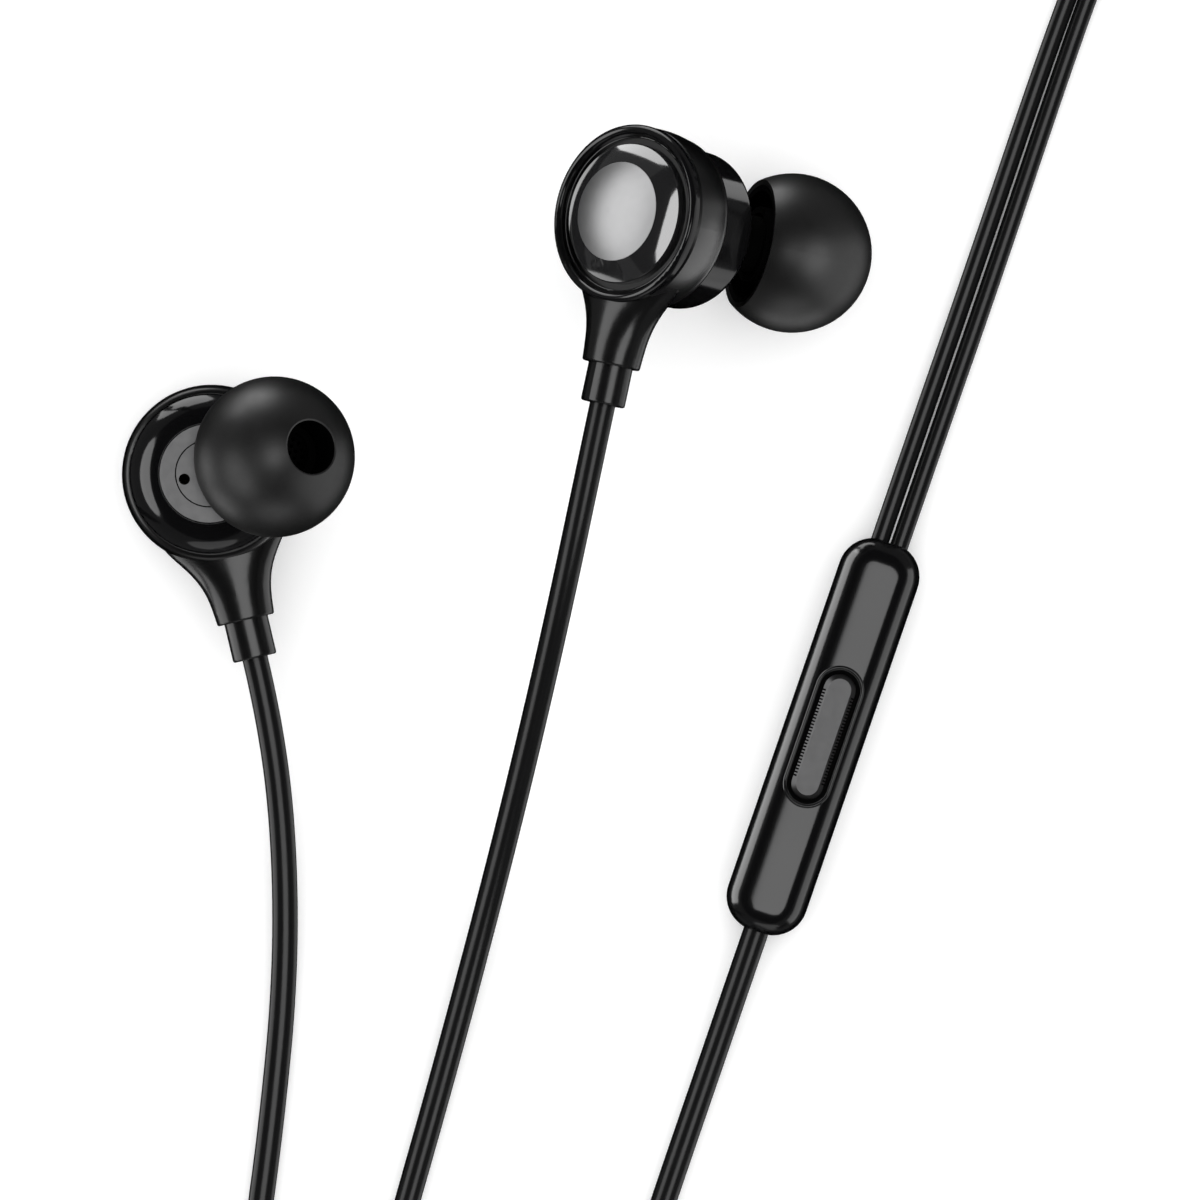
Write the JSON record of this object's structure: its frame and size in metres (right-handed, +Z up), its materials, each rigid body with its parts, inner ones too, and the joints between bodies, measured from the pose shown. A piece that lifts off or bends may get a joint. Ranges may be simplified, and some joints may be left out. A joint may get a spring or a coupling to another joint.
{
  "type": "wired in-ear earphones",
  "caption": "Black in-ear earphones with gloss caps, silicone tips, an in-line remote with a button, a splitter and a coiled cord ending in a jack plug.",
  "frame": {"origin": "on the table, under the middle of the box round the two earbuds and the remote", "axes": "+Z up from the table; +X to the right and +Y away from a person who looks down at it"},
  "size_m": [0.1046, 0.1483, 0.0224],
  "materials": {
    "housing": "semi-gloss moulded black plastic",
    "gloss_black": "gloss black plastic",
    "cap_gloss": "high-gloss black lacquer",
    "satin_metal": "fine satin grain",
    "nozzle_plastic": "fine matte",
    "fine_mesh": "perforated dark steel",
    "silicone": "satin silicone rubber",
    "inner_plastic": "plain moulded",
    "soft_iron": "nickel plated",
    "magnet": "nickel plated",
    "copper_wire": "enamelled wire",
    "film": "clear amber film",
    "circuit_board": "solder mask",
    "soft_moulding": "satin soft moulding",
    "cord_jacket": "satin jacket",
    "remote_gloss": "gloss black plastic",
    "button_metal": "fine satin grain",
    "plug_gold": "gold plated",
    "tie": "soft ribbed strap"
  },
  "bodies": {
    "earphones": {"left_rear_housing": "housing", "left_trim_ring": "gloss_black", "left_cap_lens": "cap_gloss", "left_cap_disc": "satin_metal", "left_front_housing": "gloss_black", "left_face_plate": "satin_metal", "left_nozzle": "nozzle_plastic", "left_nozzle_mesh": "fine_mesh", "left_driver_frame": "inner_plastic", "left_yoke": "soft_iron", "left_magnet": "magnet", "left_top_plate": "soft_iron", "left_terminal_board": "circuit_board", "left_stem_flare": "soft_moulding", "left_cord_collar": "soft_moulding", "left_cord_knot": "cord_jacket", "right_rear_housing": "housing", "right_trim_ring": "gloss_black", "right_cap_lens": "cap_gloss", "right_cap_disc": "satin_metal", "right_front_housing": "gloss_black", "right_face_plate": "satin_metal", "right_nozzle": "nozzle_plastic", "right_nozzle_mesh": "fine_mesh", "right_driver_frame": "inner_plastic", "right_yoke": "soft_iron", "right_magnet": "magnet", "right_top_plate": "soft_iron", "right_terminal_board": "circuit_board", "right_stem_flare": "soft_moulding", "right_cord_collar": "soft_moulding", "right_cord_knot": "cord_jacket", "remote_front_shell": "remote_gloss", "remote_back_shell": "remote_gloss", "remote_switch": "soft_iron", "remote_circuit_board": "circuit_board", "remote_microphone": "soft_iron", "splitter_front": "soft_moulding", "splitter_back": "soft_moulding", "plug_grip": "soft_moulding", "plug_sleeve": "plug_gold", "plug_rings": "plug_gold", "plug_tip": "plug_gold", "plug_insulators": "inner_plastic", "main_cord_coil": "cord_jacket", "coil_tie": "tie", "left_ear_cord": "cord_jacket", "right_ear_cord": "cord_jacket", "right_strand_a": "cord_jacket", "right_strand_b": "cord_jacket", "main_cord": "cord_jacket", "main_cord_tail": "cord_jacket"},
    "button": {"remote_button": "button_metal", "remote_plunger": "inner_plastic"},
    "left_tip": {"left_ear_tip": "silicone"},
    "right_tip": {"right_ear_tip": "silicone"},
    "left_cone": {"left_voice_coil": "copper_wire", "left_diaphragm": "film"},
    "right_cone": {"right_voice_coil": "copper_wire", "right_diaphragm": "film"}
  },
  "joints": [
    {"name": "button_press", "type": "slide", "parent": "earphones", "child": "button", "axis": [0, 0, -1], "range_m": [0, 0.00035], "stiffness_N_per_m": 2000, "springref_m": -0.0002},
    {"name": "left_tip_pull", "type": "slide", "parent": "earphones", "child": "left_tip", "axis": [0.5085, 0.1202, 0.8526], "range_m": [0, 0.007]},
    {"name": "right_tip_pull", "type": "slide", "parent": "earphones", "child": "right_tip", "axis": [0.9249, -0.2003, -0.3232], "range_m": [0, 0.007]},
    {"name": "left_cone_stroke", "type": "slide", "parent": "earphones", "child": "left_cone", "axis": [0, 0, 1], "range_m": [-0.0002, 0.0002], "stiffness_N_per_m": 500},
    {"name": "right_cone_stroke", "type": "slide", "parent": "earphones", "child": "right_cone", "axis": [0.622, -0.1425, -0.77], "range_m": [-0.0002, 0.0002], "stiffness_N_per_m": 500}
  ]
}
